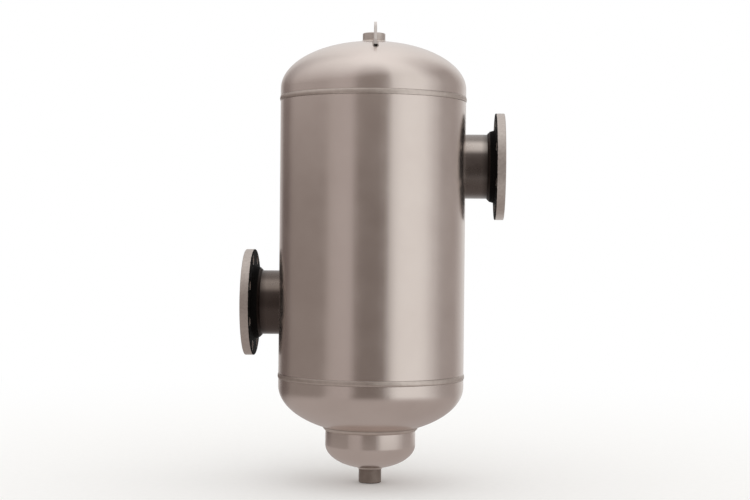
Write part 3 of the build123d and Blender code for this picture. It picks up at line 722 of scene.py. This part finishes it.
def lug_joint(turn, start):
    """Outline of a lug's foot on the dome, kept a little out of the corner so that it rounds the ends."""
    corners = [(0, 1, 1), (90, -1, 1), (180, -1, -1), (270, 1, -1)]
    outline = []
    for way, end, flank in corners:
        corner = Vector((122 * MM + 28 * MM * end, 3.175 * MM * flank))
        rims = [Vector((math.cos(math.radians(way + step)), math.sin(math.radians(way + step))))
                for step in range(0, 91, 15)]
        outline += [(corner + rim * start, rim) for rim in rims]
    spin = Matrix.Rotation(turn, 3, "Z")
    points, facings = [], []
    for (here, rim), (there, _) in zip(outline, outline[1:] + outline[:1]):
        parts = max(1, round((there - here).length / (3 * MM)))
        for k in range(parts):
            x, y = here.lerp(there, k / parts)
            height = DOME_RISE * math.sqrt(1 - (x * x + y * y) / SHELL_R**2)
            dome = Vector((x / SHELL_R**2, y / SHELL_R**2, height / DOME_RISE**2)).normalized()
            points.append(spin @ (Vector((x, y, TOP_DOME_Z + height)) + dome * start))
            facings.append(spin @ (Vector((rim.x, rim.y, 0)) + dome).normalized())
    return joint("lug_foot", points, facings)


# %% [markdown]
# Real ripples lie one to two and a half millimetres apart. They are drawn 3 mm apart on the wide seams and
# about 2.4 mm on the fillets, so that they show. The ripples are 0.3 to 0.5 mm deep. Each bead stands for
# the plain CAD weld of the same joint.

# %% Lay the beads
BOWL_R, BOWL_RISE, BOWL_RIM_Z = 114.3 * MM, 60.325 * MM, 139.825 * MM
COUPLING_R = 28.575 * MM
BOWL_DOME_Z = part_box("sediment_bowl")[0].z + BOWL_RISE
under_head = dome_normal(BOWL_R, SHELL_R, DOME_RISE) * Vector((1, -1))
on_top = dome_normal(COUPLING_R, SHELL_R, DOME_RISE)
under_bowl = dome_normal(COUPLING_R, BOWL_R, BOWL_RISE) * Vector((1, -1))
vent_foot = TOP_DOME_Z + DOME_RISE * math.sqrt(1 - (COUPLING_R / SHELL_R) ** 2)
drain_foot = BOWL_DOME_Z - BOWL_RISE * math.sqrt(1 - (COUPLING_R / BOWL_R) ** 2)
wall = Vector((1, 0))
groove, crown_half = groove_section()
fillet_5, fillet_6, fillet_7 = sunk_section(5 * MM, 52), sunk_section(6 * MM, 44), sunk_section(7 * MM, 42)
hub_fillet, bore_fillet = corner_section(7 * MM, 5.54 * MM), corner_section(6 * MM, 4.75 * MM)
lug_fillet = corner_section(5 * MM, 4.0 * MM, 2 * MM * math.sqrt(2))
seam_line = [Vector((0, SHELL_R, BOTTOM_SEAM + 5.8 * MM)), Vector((0, SHELL_R, TOP_SEAM - 5.8 * MM))]

beads = [("top_girth_weld", ring_joint(SHELL_R, TOP_SEAM, 1, 0), groove, 3.0, 0.45, 4.0, brushed_weld),
         ("bottom_girth_weld", ring_joint(SHELL_R, BOTTOM_SEAM, 1, 0), groove, 3.0, 0.45, 4.0, brushed_weld),
         ("shell_seam_weld", joint("seam", seam_line, [Vector((0, 1, 0))] * 2, False), groove, 3.0, 0.45, 4.0,
          brushed_weld),
         ("bowl_weld", sunk_ring(BOWL_R, BOWL_RIM_Z, [wall, under_head], 7 * MM), fillet_7, 2.6, 0.4, 2.6,
          brushed_weld),
         ("vent_weld", sunk_ring(COUPLING_R, vent_foot, [wall, on_top], 6 * MM), fillet_6, 2.4, 0.35, 2.2,
          brushed_weld),
         ("drain_weld", sunk_ring(COUPLING_R, drain_foot, [wall, under_bowl], 6 * MM), fillet_6, 2.4, 0.35, 2.2,
          brushed_weld)]
for name, side in SIDES.items():
    face = flange_place(side, NOZZLE_Z[name])
    slope = math.sqrt(0.5)
    beads += [(name + "_nozzle_weld", saddle_joint(side, NOZZLE_Z[name], 5 * MM), fillet_5, 2.4, 0.35, 2.0,
               brushed_weld),
              (name + "_hub_weld", ring_joint(PIPE_R, -39.7 * MM, slope, -slope, face), hub_fillet, 2.4, 0.4, 2.4,
               black_weld),
              (name + "_bore_weld", ring_joint(PIPE_R + 1.2 * MM, -9.5 * MM, -slope, slope, face), bore_fillet,
               2.4, 0.35, 2.2, brushed_weld)]
for name, turn in (("front", -86), ("rear", 94)):
    beads.append((name + "_lug_weld", lug_joint(math.radians(turn), 2 * MM), lug_fillet, 2.2, 0.35, 0.4, lug_weld))

triangles = 0
for seed, (node, line, drawn, length, depth, crescent, finish) in enumerate(beads):
    piece = grow(ripples, "rippled_" + node, line, {
        "Section": drawn, "Ripple length": length * MM, "Ripple depth": depth * MM, "Crescent": crescent * MM,
        "Rings per ripple": 4, "Seed": seed, "Metal": finish})
    for extra in [data.name for data in piece.data.attributes if data.name in ("lowering", "ahead", "facing", "crown")]:
        piece.data.attributes.remove(piece.data.attributes[extra])
    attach(piece, "root")
    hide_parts(node)
    piece.data.calc_loop_triangles()
    triangles += len(piece.data.loop_triangles)
    form = bmesh.new()
    form.from_mesh(piece.data)
    print(node, len(piece.data.loop_triangles), "triangles,", round(form.calc_volume(signed=True) * 1e6, 2), "cm3")
    form.free()
for drawn in {bead[2] for bead in beads}:
    bpy.data.objects.remove(drawn)
print("beads:", len(beads), "triangles:", triangles)

# %% [markdown]
# The couplings take a pipe thread of eleven and a half turns to the inch, a pitch of 2.209 mm. The cutter
# leaves a helical ridge, so a tree winds one: a spiral curve carries the ridge's section, which narrows to
# nothing at both ends, where the countersunk mouth and the run-out of the cut take it. The body is turned:
# a closed outline spun about the axis, its bore opened to the root of the thread as far as the thread goes.

# %% Threaded couplings
THREAD_PITCH = 25.4 * MM / 11.5


def thread_tree():
    tree = bpy.data.node_groups.new("pipe_thread", "GeometryNodeTree")
    sockets = [("Body", "Geometry"), ("Ridge", "Object"), ("Root radius", "Float"), ("Pitch", "Float"),
               ("Turns", "Float"), ("Start height", "Float"), ("Metal", "Material")]
    for name, kind in sockets:
        tree.interface.new_socket(name, in_out="INPUT", socket_type="NodeSocket" + kind)
    tree.interface.new_socket("Coupling", in_out="OUTPUT", socket_type="NodeSocketGeometry")
    given = add(tree, "NodeGroupInput").outputs
    height = add(tree, "ShaderNodeMath", {0: given["Turns"], 1: given["Pitch"]}, operation="MULTIPLY")
    spiral = add(tree, "GeometryNodeCurveSpiral", {
        "Resolution": 72, "Rotations": given["Turns"], "Start Radius": given["Root radius"],
        "End Radius": given["Root radius"], "Height": height.outputs[0], "Reverse": False})
    lift = add(tree, "ShaderNodeCombineXYZ", {"Z": given["Start height"]})
    raised = add(tree, "GeometryNodeSetPosition", {"Geometry": spiral.outputs[0], "Offset": lift.outputs[0]})
    at = add(tree, "GeometryNodeInputPosition")
    inward = add(tree, "ShaderNodeVectorMath", {0: at.outputs[0], 1: (-1, -1, 0)}, operation="MULTIPLY")
    aimed = add(tree, "GeometryNodeSetCurveNormal", {"Curve": raised.outputs[0], "Normal": inward.outputs[0]},
                mode="FREE")
    along = add(tree, "GeometryNodeSplineParameter")
    from_end = add(tree, "ShaderNodeMath", {0: along.outputs["Factor"], 1: 0.5}, operation="PINGPONG")
    turns_in = add(tree, "ShaderNodeMath", {0: from_end.outputs[0], 1: given["Turns"]}, operation="MULTIPLY")
    taper = add(tree, "ShaderNodeMapRange", {"Value": turns_in.outputs[0], "From Max": 0.4, "To Min": 0.05})
    drawn = add(tree, "GeometryNodeObjectInfo", {"Object": given["Ridge"]})
    outline = add(tree, "GeometryNodeMeshToCurve", {"Mesh": drawn.outputs["Geometry"]})
    ridge = add(tree, "GeometryNodeCurveToMesh", {"Curve": aimed.outputs[0], "Profile Curve": outline.outputs[0],
                                                  "Scale": taper.outputs[0], "Fill Caps": True})
    joined = add(tree, "GeometryNodeJoinGeometry", {0: given["Body"]})
    tree.links.new(ridge.outputs[0], joined.inputs[0])
    real = add(tree, "GeometryNodeRealizeInstances", {"Geometry": joined.outputs[0]})
    finished = add(tree, "GeometryNodeSetMaterial", {"Geometry": real.outputs[0], "Material": given["Metal"]})
    add(tree, "NodeGroupOutput", {"Coupling": finished.outputs[0]})
    return tree


def turned_body(name, outline, columns=96):
    """Closed outline of radius and height, listed clockwise in that plane, spun about the axis."""
    count = len(outline)
    verts = [(r * math.cos(math.tau * k / columns), r * math.sin(math.tau * k / columns), z)
             for k in range(columns) for r, z in outline]
    faces = [(k * count + i, k * count + (i + 1) % count, (k + 1) % columns * count + (i + 1) % count,
              (k + 1) % columns * count + i) for k in range(columns) for i in range(count)]
    mesh = bpy.data.meshes.new(name)
    mesh.from_pydata(verts, [], faces)
    return mesh


def coupling_outline(length, mouth, way):
    """Outline of a coupling from its mouth, which looks down for way 1 and up for way -1."""
    root, bore, edge = 20.65 * MM, 19.25 * MM, 1.6 * MM
    shape = [(COUPLING_R, length), (COUPLING_R, edge), (COUPLING_R - edge, 0), (root + 1.0 * MM, 0),
             (root, 1.0 * MM), (root, 17.2 * MM), (bore, 18.8 * MM), (bore, length)]
    return [(r, mouth + way * z) for r, z in (shape if way > 0 else reversed(shape))]


ridge_mesh = loop_mesh("thread_ridge", [(1.38 * MM, -0.16 * MM, 0), (1.38 * MM, 0.16 * MM, 0),
                                        (0.0, 0.94 * MM, 0), (-0.3 * MM, 0.94 * MM, 0), (-0.3 * MM, -0.94 * MM, 0),
                                        (0.0, -0.94 * MM, 0)])
ridge = bpy.data.objects.new("thread_ridge", ridge_mesh)
bpy.context.scene.collection.objects.link(ridge)
threads = thread_tree()
vent_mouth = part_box("vent_coupling")[1].z
COUPLINGS = [("drain_coupling", 44.45 * MM, 0.0, 1, 1.4 * MM, drain_metal),
             ("vent_coupling", 33.3 * MM, vent_mouth, -1, vent_mouth - 17.4 * MM, vent_metal)]
for node, length, mouth, way, start, finish in COUPLINGS:
    body = turned_body(node + "_body", coupling_outline(length, mouth, way))
    piece = grow(threads, "threaded_" + node, body, {
        "Ridge": ridge, "Root radius": 20.65 * MM, "Pitch": THREAD_PITCH, "Turns": 16.0 * MM / THREAD_PITCH,
        "Start height": start, "Metal": finish})
    piece.data.shade_smooth()
    piece.data.set_sharp_from_angle(angle=math.radians(32))
    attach(piece, "root")
    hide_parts(node)
    form = bmesh.new()
    form.from_mesh(piece.data)
    print(node, len(form.faces), "faces,", round(form.calc_volume(signed=True) * 1e6, 2), "cm3")
    form.free()
bpy.data.objects.remove(ridge)

# %% Give the CAD nodes their metals
SLOT_METALS = {"vessel_plate": plate_metal, "nozzle_pipe": pipe_metal, "flange_steel": flange_metal,
               "coupling_steel": vent_metal, "lug_plate": lug_metal, "inner_plate": inner_metal,
               "weld_metal": brushed_weld}
for row in frame["record"]["subparts"]:
    part = nodes[row["node"]]
    part.data.materials.clear()
    part.data.materials.append(SLOT_METALS[row["material_slot"]])
